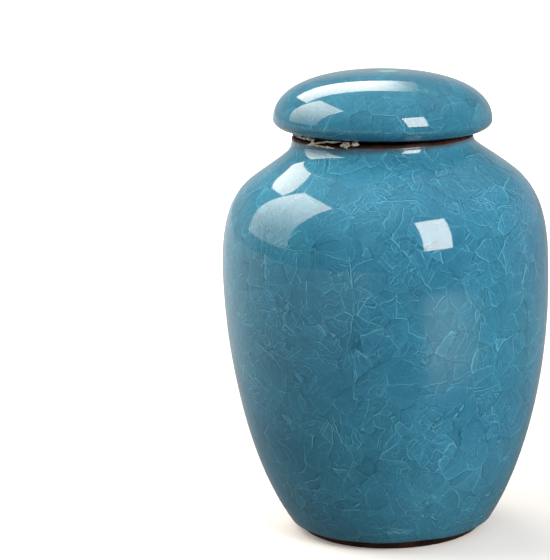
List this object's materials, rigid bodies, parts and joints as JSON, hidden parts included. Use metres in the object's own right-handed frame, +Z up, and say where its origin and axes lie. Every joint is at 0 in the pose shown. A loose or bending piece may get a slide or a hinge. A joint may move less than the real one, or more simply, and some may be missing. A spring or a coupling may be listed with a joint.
{
  "type": "funeral urn",
  "caption": "Small rounded jar with a loose domed lid, glazed blue-green with an ice-crack pattern, for keeping ashes.",
  "frame": {"origin": "centre of the foot ring's underside, on the surface the urn stands on", "axes": "+Z up the jar's axis towards the lid, -Y towards the viewer, +X to the viewer's right, where the lid sits lowest"},
  "size_m": [0.12, 0.12, 0.171],
  "materials": {
    "jar_glaze": "glossy blue-green ice-crack glaze, bare brown clay at foot and lip",
    "lid_glaze": "glossy blue-green ice-crack glaze with a paler pool at the top",
    "crumb": "matt dry crumbs and flakes in the seam"
  },
  "bodies": {
    "root": {"jar": "jar_glaze", "lid": "lid_glaze"}
  },
  "joints": []
}
